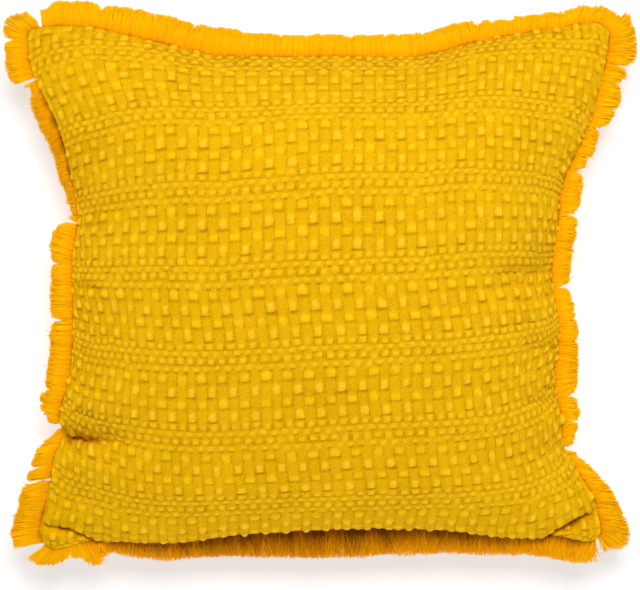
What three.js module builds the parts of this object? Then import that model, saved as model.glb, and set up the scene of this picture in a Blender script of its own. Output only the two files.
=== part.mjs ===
// A square scatter cushion with a woven cover and a brush fringe in its four seams,
// lying on its back. Millimetres, +Z up, +Y towards the cushion's top edge.
// The cover was cut 500 mm square. The filling draws its sides in and leaves thin ears
// at the corners, so the outline is a square with four uneven hollow sides.
import * as THREE from 'three';

// The cover, as sewn and filled
const CUT_SIZE = 500;
const FRONT_CROWN = 100;
const BACK_CROWN = 112;
const FLOOR_SOFTNESS = 6;
const CORNER_DRAW = 5;
const CORNER_REACH = 0.1;
const HIP_SHARE = 0.5;

// The four corners of the seam: how far each stands from the middle, and its height
const CORNERS = {
  topLeft: { x: -246, y: 221, z: 84 },
  topRight: { x: 244, y: 223, z: 77 },
  bottomLeft: { x: -239, y: -220, z: 80 },
  bottomRight: { x: 238, y: -217, z: 72 },
};

// How far each side is drawn in from the straight line between its corners.
// along runs from -1 to 1, left to right or bottom to top, and rise lifts the seam.
const TOP_SIDE = [
  { along: -0.95, inward: -0.5, rise: 0 },
  { along: -0.79, inward: 0.5, rise: 1 },
  { along: -0.57, inward: 12.4, rise: 0 },
  { along: -0.38, inward: 23.5, rise: -3 },
  { along: 0, inward: 25.8, rise: -2 },
  { along: 0.35, inward: 25.3, rise: 1 },
  { along: 0.58, inward: 12, rise: 4 },
  { along: 0.79, inward: 3.6, rise: 2 },
  { along: 0.95, inward: -1.7, rise: 0 },
];
const BOTTOM_SIDE = [
  { along: -0.94, inward: -1.9, rise: 0 },
  { along: -0.78, inward: 6.6, rise: -2 },
  { along: -0.5, inward: 12.2, rise: -4 },
  { along: 0, inward: 15.3, rise: -2 },
  { along: 0.4, inward: 15.4, rise: 1 },
  { along: 0.8, inward: 8.4, rise: 2 },
  { along: 0.95, inward: 0, rise: 0 },
];
const LEFT_SIDE = [
  { along: -0.94, inward: 0.5, rise: 0 },
  { along: -0.82, inward: 7.4, rise: 2 },
  { along: -0.64, inward: 15.4, rise: 4 },
  { along: -0.57, inward: 21.8, rise: -3 },
  { along: -0.5, inward: 19.8, rise: 3 },
  { along: -0.29, inward: 30.9, rise: 5 },
  { along: -0.05, inward: 33.6, rise: 1 },
  { along: 0.12, inward: 33.6, rise: -2 },
  { along: 0.27, inward: 38.6, rise: -5 },
  { along: 0.46, inward: 33.4, rise: 1 },
  { along: 0.64, inward: 23.4, rise: 4 },
  { along: 0.82, inward: 4.9, rise: 2 },
  { along: 0.95, inward: 0.4, rise: 0 },
];
const RIGHT_SIDE = [
  { along: -0.95, inward: 0.2, rise: 0 },
  { along: -0.82, inward: 7.6, rise: -2 },
  { along: -0.64, inward: 31.5, rise: -3 },
  { along: -0.5, inward: 36, rise: 2 },
  { along: -0.36, inward: 42.3, rise: -2 },
  { along: -0.17, inward: 39.2, rise: 3 },
  { along: 0.05, inward: 46.2, rise: -5 },
  { along: 0.24, inward: 41.8, rise: 3 },
  { along: 0.4, inward: 37.4, rise: 0 },
  { along: 0.6, inward: 18.4, rise: 3 },
  { along: 0.75, inward: 9, rise: 1 },
  { along: 0.95, inward: 0.5, rise: 0 },
];

// How much the cloth crowds towards the seams, and how the filling lies to the left
const CROWDING_ACROSS = 0.2;
const CROWDING_UP = 0.25;
const LEAN_ACROSS = 0.09;
const STEEPER_RIGHT = 0.12;

// How full the filling stands behind each side: 2 is a lens, more is a fuller side
const FULLNESS = { left: 2, right: 2.6, top: 2.2, bottom: 3 };

// The lower front bulges over its own seam: out is how far, at each place across
const BULGE_REACH = 25;
const BULGE = [
  { across: -1, out: 0 },
  { across: -0.86, out: 4 },
  { across: -0.7, out: 14 },
  { across: -0.53, out: 19 },
  { across: -0.25, out: 15.5 },
  { across: 0.1, out: 13 },
  { across: 0.4, out: 12.5 },
  { across: 0.65, out: 14.5 },
  { across: 0.8, out: 10 },
  { across: 0.92, out: 2 },
  { across: 1, out: 0 },
];

// Main folds of the front, as soft troughs from one place to another.
// A negative depth is a ridge.
const FOLD_FADE = 0.16;
const FOLDS = [
  { fromX: -226, fromY: -124, toX: -190, toY: -128, width: 9, depth: 15 },
  { fromX: -222, fromY: -142, toX: -176, toY: -146, width: 14, depth: -6 },
  { fromX: -214, fromY: -96, toX: -160, toY: -84, width: 17, depth: -7 },
  { fromX: -212, fromY: 8, toX: -186, toY: 2, width: 18, depth: 8 },
  { fromX: -216, fromY: 44, toX: -188, toY: 50, width: 9, depth: 7 },
  { fromX: -240, fromY: -194, toX: -198, toY: -209, width: 7, depth: 10 },
  { fromX: -232, fromY: 206, toX: -186, toY: 186, width: 13, depth: 8 },
  { fromX: 202, fromY: 42, toX: 156, toY: 3, width: 12, depth: 10 },
  { fromX: 204, fromY: -4, toX: 168, toY: -14, width: 10, depth: -8 },
  { fromX: 202, fromY: -48, toX: 170, toY: -40, width: 8, depth: 8 },
  { fromX: 202, fromY: -78, toX: 168, toY: -72, width: 12, depth: -7 },
  { fromX: 206, fromY: -100, toX: 176, toY: -94, width: 7, depth: 6 },
  { fromX: 236, fromY: -188, toX: 196, toY: -206, width: 7, depth: 10 },
  { fromX: 236, fromY: 168, toX: 212, toY: 160, width: 9, depth: 8 },
];

// The flat patch that the cushion rests on: the share of the cut cloth out to its corners,
// how hollow its sides are, and how fast the cloth rises beyond it
const REST_REACH = 0.325;
const REST_HOLLOW = 0.03;
const REST_RISE = 0.12;

// The grid of the cover: cells each way, and how much they crowd to the seams
const CELLS = 40;
const CELL_CROWDING = 0.55;

// The fringe: a flat strip along each seam, with locks of thread that stand out from it
const STRIP_GAP = 0.4;
const STRIP_WIDTH = 3.5;
const STRIP_TOP = -0.1;
const STRIP_THICKNESS = 1.8;
const STRIP_END = 0.988;
const LOCK_LENGTH = 20.5;
const LOCK_ROOT_SHARE = 0.66;
const LOCK_TIP_SHARE = 0.5;
const LOCK_TIP_THICKNESS = 2.6;
const TOP_LOCKS = 70;
const BOTTOM_LOCKS = 68;
const LEFT_LOCKS = 62;
const RIGHT_LOCKS = 64;

// How the locks lie along each side: longer is added to their length, slant leans them
// along the seam in degrees, and droop drops their tips.
const TOP_LOCK_LIE = [
  { along: -1, longer: 4, slant: -10, droop: 2 },
  { along: -0.93, longer: 2, slant: -4, droop: 2 },
  { along: -0.6, longer: 1, slant: 4, droop: 0 },
  { along: -0.2, longer: -2, slant: 2, droop: 3 },
  { along: 0.3, longer: -2.5, slant: -3, droop: 3 },
  { along: 0.7, longer: -0.5, slant: 3, droop: 1 },
  { along: 0.92, longer: 1, slant: 9, droop: 1 },
  { along: 1, longer: 3, slant: 20, droop: 2 },
];
const BOTTOM_LOCK_LIE = [
  { along: -1, longer: 0, slant: -14, droop: 4 },
  { along: -0.85, longer: -3, slant: -5, droop: 5 },
  { along: -0.5, longer: -3, slant: 2, droop: 6 },
  { along: 0, longer: 3.5, slant: -2, droop: 6 },
  { along: 0.6, longer: 2, slant: 2, droop: 5 },
  { along: 0.85, longer: 0, slant: 3, droop: 4 },
  { along: 1, longer: -4, slant: 2, droop: 3 },
];
const LEFT_LOCK_LIE = [
  { along: -1, longer: 2, slant: -12, droop: 3 },
  { along: -0.7, longer: -1, slant: -4, droop: 4 },
  { along: -0.57, longer: -8, slant: 8, droop: 8 },
  { along: -0.45, longer: -3, slant: -5, droop: 2 },
  { along: 0.05, longer: -2, slant: 3, droop: 3 },
  { along: 0.22, longer: -3, slant: 8, droop: 5 },
  { along: 0.32, longer: -12, slant: 2, droop: 12 },
  { along: 0.6, longer: -8, slant: -6, droop: 11 },
  { along: 0.76, longer: -3, slant: 4, droop: 6 },
  { along: 0.9, longer: 2, slant: 4, droop: 2 },
  { along: 1, longer: 4, slant: 12, droop: 1 },
];
const RIGHT_LOCK_LIE = [
  { along: -1, longer: 4, slant: -14, droop: 3 },
  { along: -0.85, longer: 1, slant: 4, droop: 2 },
  { along: -0.68, longer: -7, slant: 10, droop: 4 },
  { along: -0.5, longer: -6, slant: -8, droop: 5 },
  { along: -0.2, longer: -1, slant: 4, droop: 3 },
  { along: 0.04, longer: -4, slant: -6, droop: 6 },
  { along: 0.3, longer: -1, slant: 6, droop: 3 },
  { along: 0.62, longer: -7, slant: 6, droop: 6 },
  { along: 0.82, longer: 1, slant: -4, droop: 2 },
  { along: 1, longer: 3, slant: 10, droop: 1 },
];

// The finishes
const coverCloth = new THREE.MeshStandardMaterial({ color: 0xe8b00a, roughness: 0.95, metalness: 0 });
const fringeThread = new THREE.MeshStandardMaterial({ color: 0xf9b003, roughness: 0.9, metalness: 0 });

// A smooth curve through the rows of a table: place names the column that orders them
function readTable(rows, place, column, at) {
  const last = rows.length - 1;
  let row = 0;
  while (row < last - 1 && at > rows[row + 1][place]) {
    row += 1;
  }
  const slopeAt = (index) => {
    const before = rows[Math.max(index - 1, 0)];
    const after = rows[Math.min(index + 1, last)];
    return (after[column] - before[column]) / (after[place] - before[place]);
  };
  const start = rows[row];
  const end = rows[row + 1];
  const span = end[place] - start[place];
  const part = THREE.MathUtils.clamp((at - start[place]) / span, 0, 1);
  const square = part * part;
  const cube = square * part;
  return (2 * cube - 3 * square + 1) * start[column]
    + (cube - 2 * square + part) * span * slopeAt(row)
    + (3 * square - 2 * cube) * end[column]
    + (cube - square) * span * slopeAt(row + 1);
}

// One side of the seam, from the corner at along = -1 to the one at along = 1.
// The line between the corners moves inward by the table, and its ends by the corner draw.
function makeSide(from, to, inwardX, inwardY, table) {
  const alongX = Math.sign(Math.abs(inwardY));
  const alongY = Math.sign(Math.abs(inwardX));
  const rows = [
    { along: -1, inward: CORNER_DRAW, rise: 0 },
    ...table,
    { along: 1, inward: CORNER_DRAW, rise: 0 },
  ];
  return (along) => {
    const share = (1 + along) / 2;
    const inward = readTable(rows, 'along', 'inward', along);
    const rise = readTable(rows, 'along', 'rise', along);
    const nearEnd = Math.max(0, Math.abs(along) - 1 + CORNER_REACH) / CORNER_REACH;
    const back = -Math.sign(along) * CORNER_DRAW * nearEnd * nearEnd;
    return new THREE.Vector3(
      THREE.MathUtils.lerp(from.x, to.x, share) + inwardX * inward + alongX * back,
      THREE.MathUtils.lerp(from.y, to.y, share) + inwardY * inward + alongY * back,
      THREE.MathUtils.lerp(from.z, to.z, share) + rise,
    );
  };
}

const SIDES = {
  top: makeSide(CORNERS.topLeft, CORNERS.topRight, 0, -1, TOP_SIDE),
  bottom: makeSide(CORNERS.bottomLeft, CORNERS.bottomRight, 0, 1, BOTTOM_SIDE),
  left: makeSide(CORNERS.bottomLeft, CORNERS.topLeft, 1, 0, LEFT_SIDE),
  right: makeSide(CORNERS.bottomRight, CORNERS.topRight, -1, 0, RIGHT_SIDE),
};

// The sheet that spans the four sides of the seam. Across and up run from -1 to 1. It is
// the flat patch between the corners, plus each side's departure from its straight line,
// which fades with the square of the distance from that side.
function seamSheet(across, up) {
  const right = (1 + across) / 2;
  const above = (1 + up) / 2;
  const corner = (a, b) => SIDES[b < 0 ? 'bottom' : 'top'](a);
  const lower = corner(-1, -1).lerp(corner(1, -1), right);
  const upper = corner(-1, 1).lerp(corner(1, 1), right);
  const sheet = lower.clone().lerp(upper, above);
  const depart = (side, from, to, share, along, weight) => {
    const straight = from.clone().lerp(to, share);
    sheet.addScaledVector(side(along).sub(straight), weight * weight);
  };
  depart(SIDES.left, corner(-1, -1), corner(-1, 1), above, up, 1 - right);
  depart(SIDES.right, corner(1, -1), corner(1, 1), above, up, right);
  depart(SIDES.bottom, corner(-1, -1), corner(1, -1), right, across, 1 - above);
  depart(SIDES.top, corner(-1, 1), corner(1, 1), right, across, above);
  return sheet;
}

// How high the filling stands, from 0 at the seam to 1 at the crown. Each way it falls off
// with a power of the distance from the middle. The two ways are joined half as a product,
// which thins the corners into ears, and half as the hips of a roof, which fills them.
function fillHeight(s, t) {
  const acrossWay = 1 - Math.abs(s) ** (s < 0 ? FULLNESS.left : FULLNESS.right);
  const upWay = 1 - Math.abs(t) ** (t < 0 ? FULLNESS.bottom : FULLNESS.top);
  const product = acrossWay * upWay;
  if (product <= 0) {
    return 0;
  }
  const hips = product / (acrossWay + upWay - product);
  return THREE.MathUtils.lerp(product, hips, HIP_SHARE);
}

// The depth of all folds at a place: each is a bell across its line, held over its length
function foldDepth(x, y) {
  let depth = 0;
  for (const fold of FOLDS) {
    const runX = fold.toX - fold.fromX;
    const runY = fold.toY - fold.fromY;
    const along = ((x - fold.fromX) * runX + (y - fold.fromY) * runY) / (runX * runX + runY * runY);
    const held = THREE.MathUtils.clamp(along, 0, 1);
    const away = Math.hypot(x - fold.fromX - held * runX, y - fold.fromY - held * runY);
    depth += fold.depth * Math.exp(-((away / fold.width) ** 2));
  }
  return depth;
}

// Cloth that would sink under the floor lies flat on it, with a soft turn at the edge, and
// rises gently outside the patch that carries the cushion
function restOnFloor(height, s, t) {
  const edgeS = REST_REACH - REST_HOLLOW * (1 - (t / REST_REACH) ** 2);
  const edgeT = REST_REACH - REST_HOLLOW * (1 - (s / REST_REACH) ** 2);
  const outside = (Math.max(0, Math.abs(s) - edgeS, Math.abs(t) - edgeT) * CUT_SIZE) / 2;
  const sunk = THREE.MathUtils.clamp(height, -FLOOR_SOFTNESS, FLOOR_SOFTNESS) + FLOOR_SOFTNESS;
  const soft = sunk ** 2 / (4 * FLOOR_SOFTNESS) + Math.max(0, height - FLOOR_SOFTNESS);
  return Math.max(soft, REST_RISE * outside);
}

// A point of the cover. s and t are places on the cut cloth, from -1 to 1, and the cloth
// crowds towards the seams where the filling pushes it out.
function coverPoint(isFront, s, t) {
  const inS = 1 - s * s;
  const inT = 1 - t * t;
  const crowdS = inS * (CROWDING_ACROSS * s + LEAN_ACROSS * inS + STEEPER_RIGHT * s * s);
  const crowdT = inT * CROWDING_UP * t;
  const across = s + (1 - t ** 4) * crowdS;
  const up = t + (1 - s ** 4) * crowdT;
  const point = seamSheet(across, up);
  const height = fillHeight(s, t);
  if (!isFront) {
    point.z = restOnFloor(point.z - BACK_CROWN * height, s, t);
    return point;
  }
  const fromSeam = ((1 + t) * CUT_SIZE) / 2 / BULGE_REACH;
  point.y -= readTable(BULGE, 'across', 'out', s) * fromSeam * Math.exp(1 - fromSeam);
  const held = Math.min(1, height / FOLD_FADE);
  point.z += FRONT_CROWN * height - foldDepth(point.x, point.y) * held;
  return point;
}

// Places along the cut cloth for the grid: finer near the seams
function gridPlace(index) {
  const even = (2 * index) / CELLS - 1;
  return THREE.MathUtils.lerp(even, Math.sin((even * Math.PI) / 2), CELL_CROWDING);
}

// A mesh from its points and faces, with flat normals
function makeMesh(name, points, faces, material) {
  const geometry = new THREE.BufferGeometry();
  geometry.setAttribute('position', new THREE.Float32BufferAttribute(points.flatMap((p) => p.toArray()), 3));
  geometry.setIndex(faces.flat());
  geometry.computeVertexNormals();
  const mesh = new THREE.Mesh(geometry, material);
  mesh.name = name;
  return mesh;
}

// The filled cover: the front and back grids share their points along the seam
function makeCover() {
  const points = [];
  const faces = [];
  const columns = CELLS + 1;
  const isSeam = (i, j) => i === 0 || j === 0 || i === CELLS || j === CELLS;
  const front = [];
  const back = [];
  for (let j = 0; j < columns; j += 1) {
    for (let i = 0; i < columns; i += 1) {
      front.push(points.length);
      points.push(coverPoint(true, gridPlace(i), gridPlace(j)));
    }
  }
  for (let j = 0; j < columns; j += 1) {
    for (let i = 0; i < columns; i += 1) {
      if (isSeam(i, j)) {
        back.push(front[j * columns + i]);
      } else {
        back.push(points.length);
        points.push(coverPoint(false, gridPlace(i), gridPlace(j)));
      }
    }
  }
  for (let j = 0; j < CELLS; j += 1) {
    for (let i = 0; i < CELLS; i += 1) {
      const at = j * columns + i;
      const ring = [at, at + 1, at + columns + 1, at + columns];
      const towardsCorner = (i < CELLS / 2) === (j < CELLS / 2) ? 0 : 1;
      const [a, b, c, d] = [0, 1, 2, 3].map((step) => ring[(step + towardsCorner) % 4]);
      faces.push([front[a], front[b], front[c]], [front[a], front[c], front[d]]);
      faces.push([back[a], back[c], back[b]], [back[a], back[d], back[c]]);
    }
  }
  return makeMesh('cushion_body', points, faces, coverCloth);
}

// The seam as the cover's grid has it: straight between the grid's points
function seamPoint(side, along) {
  let index = 0;
  while (index < CELLS - 1 && along > gridPlace(index + 1)) {
    index += 1;
  }
  const start = gridPlace(index);
  const share = (along - start) / (gridPlace(index + 1) - start);
  return side(start).lerp(side(gridPlace(index + 1)), share);
}

// One length of fringe. Its strip runs beside the seam, and every other stretch of the
// strip's outer edge carries a lock of four sides that narrows to a blunt tip.
function makeFringe(name, side, outward, lockCount, lie) {
  const points = [];
  const faces = [];
  const pitch = (2 * STRIP_END) / lockCount;
  const slice = 0.01;

  const frameAt = (along) => {
    const tangent = side(Math.min(along + slice, 1)).sub(side(Math.max(along - slice, -1))).setZ(0).normalize();
    const out = new THREE.Vector3(-tangent.y, tangent.x, 0);
    if (out.dot(outward) < 0) {
      out.negate();
    }
    return { root: seamPoint(side, along), tangent, out };
  };
  const addPair = (place, top, bottom) => {
    points.push(place.clone().setZ(place.z + top), place.clone().setZ(place.z + bottom));
    return points.length - 2;
  };
  const addStripPlace = (along) => {
    const { root, out } = frameAt(along);
    const bottom = STRIP_TOP - STRIP_THICKNESS;
    return {
      inner: addPair(root.clone().addScaledVector(out, STRIP_GAP), STRIP_TOP, bottom),
      outer: addPair(root.clone().addScaledVector(out, STRIP_GAP + STRIP_WIDTH), STRIP_TOP, bottom),
    };
  };
  const addQuad = (a, b, c, d) => faces.push([a, b, c], [a, c, d]);
  // A slab between two pairs of edges: its upper face, its lower face
  const addSlab = (a, b, c, d) => {
    addQuad(a, b, c, d);
    addQuad(a + 1, d + 1, c + 1, b + 1);
  };
  const addWall = (a, b) => addQuad(a, b, b + 1, a + 1);

  const addLock = (index, from, to) => {
    const along = -STRIP_END + pitch * (index + 0.5);
    const { root, tangent, out } = frameAt(along);
    const sway = Math.sin(index * 2.4) + 0.6 * Math.sin(index * 5.3 + 1);
    const length = LOCK_LENGTH + readTable(lie, 'along', 'longer', along) + 1.1 * sway;
    const slant = THREE.MathUtils.degToRad(readTable(lie, 'along', 'slant', along) + 3 * Math.sin(index * 3.7));
    const droop = readTable(lie, 'along', 'droop', along) + 0.9 * Math.sin(index * 1.9 + 2);
    const halfTip = (points[from.outer].distanceTo(points[to.outer]) * LOCK_TIP_SHARE) / LOCK_ROOT_SHARE / 2;
    const tip = root.clone().addScaledVector(out, STRIP_GAP + length * Math.cos(slant));
    tip.addScaledVector(tangent, length * Math.sin(slant));
    tip.z += STRIP_TOP - STRIP_THICKNESS / 2 - droop;
    const half = LOCK_TIP_THICKNESS / 2;
    const near = addPair(tip.clone().addScaledVector(tangent, -halfTip), half, -half);
    const far = addPair(tip.clone().addScaledVector(tangent, halfTip), half, -half);
    addSlab(from.outer, to.outer, far, near);
    addWall(far, to.outer);
    addWall(near, far);
    addWall(from.outer, near);
  };

  const gapShare = (1 - LOCK_ROOT_SHARE) / 2;
  let before = addStripPlace(-STRIP_END);
  const first = before;
  for (let index = 0; index < lockCount; index += 1) {
    const start = -STRIP_END + pitch * index;
    const from = addStripPlace(start + pitch * gapShare);
    const to = addStripPlace(start + pitch * (1 - gapShare));
    addSlab(before.inner, from.inner, from.outer, before.outer);
    addWall(from.inner, before.inner);
    addWall(before.outer, from.outer);
    addSlab(from.inner, to.inner, to.outer, from.outer);
    addWall(to.inner, from.inner);
    addLock(index, from, to);
    before = to;
  }
  const last = addStripPlace(STRIP_END);
  addSlab(before.inner, last.inner, last.outer, before.outer);
  addWall(last.inner, before.inner);
  addWall(before.outer, last.outer);
  addWall(first.inner, first.outer);
  addWall(last.outer, last.inner);
  const facesOut = new THREE.Vector3().crossVectors(frameAt(0).tangent, frameAt(0).out).z > 0;
  const turned = facesOut ? faces : faces.map(([a, b, c]) => [a, c, b]);
  return makeMesh(name, points, turned, fringeThread);
}

const cushion = new THREE.Group();
cushion.add(makeCover());
cushion.add(makeFringe('fringe_top', SIDES.top, new THREE.Vector3(0, 1, 0), TOP_LOCKS, TOP_LOCK_LIE));
cushion.add(makeFringe('fringe_bottom', SIDES.bottom, new THREE.Vector3(0, -1, 0), BOTTOM_LOCKS, BOTTOM_LOCK_LIE));
cushion.add(makeFringe('fringe_left', SIDES.left, new THREE.Vector3(-1, 0, 0), LEFT_LOCKS, LEFT_LOCK_LIE));
cushion.add(makeFringe('fringe_right', SIDES.right, new THREE.Vector3(1, 0, 0), RIGHT_LOCKS, RIGHT_LOCK_LIE));

// The origin is on the floor, under the middle of the whole outline
const outline = new THREE.Box3().setFromObject(cushion);
const middle = outline.getCenter(new THREE.Vector3());
cushion.position.set(-middle.x, -middle.y, -outline.min.z);

export default cushion;
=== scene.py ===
# %% [markdown]
# A fringed scatter cushion, in cells. The real one is two squares of textured cotton, sewn
# face to face round a filling, with a length of brush fringe caught in each seam. It lies
# on its back, and the camera looks at its face from almost straight above. The solids of
# the frame give its true size and place: each surface here is worked out in millimetres
# from the same driving sizes, and then laid on them.

# %% Start from the frame
import math

import bpy
import numpy as np
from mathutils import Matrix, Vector


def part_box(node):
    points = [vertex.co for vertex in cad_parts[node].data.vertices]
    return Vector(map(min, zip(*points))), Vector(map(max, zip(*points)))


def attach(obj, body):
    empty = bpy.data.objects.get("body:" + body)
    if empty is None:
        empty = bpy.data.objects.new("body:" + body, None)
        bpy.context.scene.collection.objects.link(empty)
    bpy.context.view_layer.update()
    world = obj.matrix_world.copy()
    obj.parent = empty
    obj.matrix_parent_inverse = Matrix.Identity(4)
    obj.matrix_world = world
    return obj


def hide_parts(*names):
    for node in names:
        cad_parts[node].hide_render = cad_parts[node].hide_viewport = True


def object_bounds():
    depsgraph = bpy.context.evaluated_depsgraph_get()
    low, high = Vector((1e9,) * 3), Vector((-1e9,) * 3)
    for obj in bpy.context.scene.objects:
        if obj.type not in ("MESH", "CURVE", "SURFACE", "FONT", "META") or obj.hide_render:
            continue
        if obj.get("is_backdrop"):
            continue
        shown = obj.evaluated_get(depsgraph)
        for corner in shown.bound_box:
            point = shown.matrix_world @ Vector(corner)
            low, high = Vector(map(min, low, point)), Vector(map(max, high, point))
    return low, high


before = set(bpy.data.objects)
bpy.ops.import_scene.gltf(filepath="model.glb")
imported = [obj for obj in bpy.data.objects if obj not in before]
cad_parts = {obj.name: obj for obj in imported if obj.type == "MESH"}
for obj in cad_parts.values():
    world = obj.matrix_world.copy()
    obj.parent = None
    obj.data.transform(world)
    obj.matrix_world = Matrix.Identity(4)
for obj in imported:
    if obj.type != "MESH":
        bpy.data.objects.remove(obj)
cad_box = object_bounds()
body_low, body_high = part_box("cushion_body")
MM = 0.001


def add_object(name, data):
    """A new object in the scene, with its mesh, lamp or camera."""
    made = bpy.data.objects.new(name, data)
    bpy.context.scene.collection.objects.link(made)
    return made


def add_mesh(name, points, faces):
    """A new object with a mesh of these points and faces."""
    mesh = bpy.data.meshes.new(name)
    mesh.from_pydata(points, [], faces)
    return add_object(name, mesh)


# %% [markdown]
# Everything about the cover is worked out on the cut cloth: s runs across it and t up it,
# both from -1 to 1. Short tables hold what was seen in the photograph, such as how far a
# side is drawn in, and a smooth curve is run through their rows.

# %% The cover's sizes
CUT_SIZE = 500.0
FRONT_CROWN = 100.0
BACK_CROWN = 112.0
FLOOR_SOFTNESS = 6.0
CORNER_DRAW = 2.5
CORNER_REACH = 0.1
HIP_SHARE = 0.5
CORNERS = {
    "top left": (-246.0, 221.0, 84.0),
    "top right": (244.0, 223.0, 77.0),
    "bottom left": (-239.0, -220.0, 80.0),
    "bottom right": (240.0, -217.5, 72.0),
}
TOP_SIDE = {
    "along": (-0.95, -0.79, -0.57, -0.38, 0, 0.35, 0.58, 0.79, 0.95),
    "inward": (-0.5, 0.5, 12.4, 23.5, 25.8, 25.3, 12, 3.6, -1.7),
    "rise": (0, 1, 0, -3, -2, 1, 4, 2, 0),
}
BOTTOM_SIDE = {
    "along": (-0.94, -0.78, -0.5, 0, 0.4, 0.8, 0.95),
    "inward": (-1.9, 6.6, 12.2, 15.3, 15.4, 8.4, 0),
    "rise": (0, -2, -4, -2, 1, 2, 0),
}
LEFT_SIDE = {
    "along": (-0.94, -0.82, -0.64, -0.57, -0.5, -0.29, -0.05, 0.12, 0.27, 0.46, 0.64, 0.82, 0.95),
    "inward": (0.5, 7.4, 15.4, 21.8, 19.8, 30.9, 33.6, 33.6, 38.6, 33.4, 23.4, 4.9, 0.4),
    "rise": (0, 2, 4, -3, 3, 5, 1, -2, -5, 1, 4, 2, 0),
}
RIGHT_SIDE = {
    "along": (-0.95, -0.82, -0.64, -0.5, -0.36, -0.17, 0.05, 0.24, 0.4, 0.6, 0.75, 0.95),
    "inward": (0.2, 7.6, 31.5, 36, 42.3, 39.2, 46.2, 41.8, 37.4, 18.4, 9, 0.5),
    "rise": (0, -2, -3, 2, -2, 3, -5, 3, 0, 3, 1, 0),
}
print("cover cut", CUT_SIZE, "mm square")


# %% A smooth curve through a table
def smooth_curve(x, y, at):
    """A curve through the heights y over x, read at each place: between two neighbours it
    is the cubic that meets both, with the slope of the line through their neighbours."""
    x, y, at = (np.asarray(values, float) for values in (x, y, at))
    before = np.maximum(np.arange(len(x)) - 1, 0)
    after = np.minimum(np.arange(len(x)) + 1, len(x) - 1)
    run = (x[after] - x[before]).reshape((-1,) + (1,) * (y.ndim - 1))
    slope = (y[after] - y[before]) / run
    row = np.clip(np.searchsorted(x, at) - 1, 0, len(x) - 2)
    span = x[row + 1] - x[row]
    part = np.clip((at - x[row]) / span, 0, 1)
    square, cube = part**2, part**3

    def pick(values, index):
        return values[index] if values.ndim == 1 else np.take_along_axis(values, index[None], 0)[0]

    start = (2 * cube - 3 * square + 1) * pick(y, row)
    leaving = (cube - 2 * square + part) * span * pick(slope, row)
    end = (3 * square - 2 * cube) * pick(y, row + 1)
    arriving = (cube - square) * span * pick(slope, row + 1)
    return start + leaving + (end + arriving)


def read_table(table, column, at, place="along"):
    """The smooth curve through one column of a table, read at each place."""
    return smooth_curve(table[place], table[column], at)


# %% The four sides of the seam
def with_corners(table):
    """The table with a row at each corner, where the cloth is drawn in to a round end."""
    ends = {"along": (-1, 1), "inward": (CORNER_DRAW, CORNER_DRAW), "rise": (0, 0)}
    return {name: (ends[name][0], *values, ends[name][1]) for name, values in table.items()}


def side_point(side, along):
    """Points of one side: the straight line between its corners, moved inward by the
    table, and near each corner moved back along the line by the square of the nearness."""
    start, end, inward_way, table = SIDES[side]
    along = np.asarray(along, float)
    share = ((1 + along) / 2)[..., None]
    line = np.array(start) * (1 - share) + np.array(end) * share
    near = np.maximum(0, np.abs(along) - 1 + CORNER_REACH) / CORNER_REACH
    back = -np.sign(along) * CORNER_DRAW * near**2
    inward = read_table(table, "inward", along)
    along_way = np.abs(np.array(inward_way))[::-1]
    line[..., 0] += inward_way[0] * inward + along_way[0] * back
    line[..., 1] += inward_way[1] * inward + along_way[1] * back
    line[..., 2] += read_table(table, "rise", along)
    return line


SIDES = {
    "top": (CORNERS["top left"], CORNERS["top right"], (0, -1), with_corners(TOP_SIDE)),
    "bottom": (CORNERS["bottom left"], CORNERS["bottom right"], (0, 1), with_corners(BOTTOM_SIDE)),
    "left": (CORNERS["bottom left"], CORNERS["top left"], (1, 0), with_corners(LEFT_SIDE)),
    "right": (CORNERS["bottom right"], CORNERS["top right"], (-1, 0), with_corners(RIGHT_SIDE)),
}
for side_name in SIDES:
    middle = side_point(side_name, 0.0)
    print(side_name, "side, middle of the seam at", np.round(middle, 1))


# %% [markdown]
# The filled shape could be sculpted, or inflated from a flat bag. Here it is one formula,
# so that the weave can be laid on it exactly. A sheet is spanned between the four sides,
# and the filling lifts the front off it and presses the back down on the floor.

# %% The sheet between the seams
def seam_sheet(across, up):
    """The patch between the four corners, plus each side's departure from its straight
    line, fading with the square of the distance from that side."""
    right = ((1 + across) / 2)[..., None]
    above = ((1 + up) / 2)[..., None]
    low_left, low_right = side_point("bottom", -1.0), side_point("bottom", 1.0)
    top_left, top_right = side_point("top", -1.0), side_point("top", 1.0)
    lower = low_left * (1 - right) + low_right * right
    upper = top_left * (1 - right) + top_right * right
    left_line = low_left * (1 - above) + top_left * above
    right_line = low_right * (1 - above) + top_right * above
    sheet = lower * (1 - above) + upper * above
    sheet = sheet + (side_point("left", up) - left_line) * (1 - right) ** 2
    sheet = sheet + (side_point("right", up) - right_line) * right**2
    sheet = sheet + (side_point("bottom", across) - lower) * (1 - above) ** 2
    return sheet + (side_point("top", across) - upper) * above**2


# %% The filling
FULLNESS = {"left": 2.0, "right": 2.6, "top": 2.2, "bottom": 3.0}


def fill_height(s, t):
    """How high the filling stands, 0 at the seam and 1 at the crown: a power of the
    distance from the middle each way, joined half as a product and half as roof hips."""
    across_way = 1 - np.abs(s) ** np.where(s < 0, FULLNESS["left"], FULLNESS["right"])
    up_way = 1 - np.abs(t) ** np.where(t < 0, FULLNESS["bottom"], FULLNESS["top"])
    product = across_way * up_way
    both = across_way + up_way - product
    hips = np.where(both > 0, product / np.where(both > 0, both, 1), 0)
    return product * (1 - HIP_SHARE) + hips * HIP_SHARE


# %% The bulge over the bottom seam, and the folds
BULGE_REACH = 25.0
BULGE = {
    "across": (-1, -0.86, -0.7, -0.53, -0.25, 0.1, 0.4, 0.65, 0.8, 0.92, 1),
    "out": (0, 4, 14, 19, 15.5, 13, 12.5, 14.5, 10, 2, 0),
}
FOLD_FADE = 0.16
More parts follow.
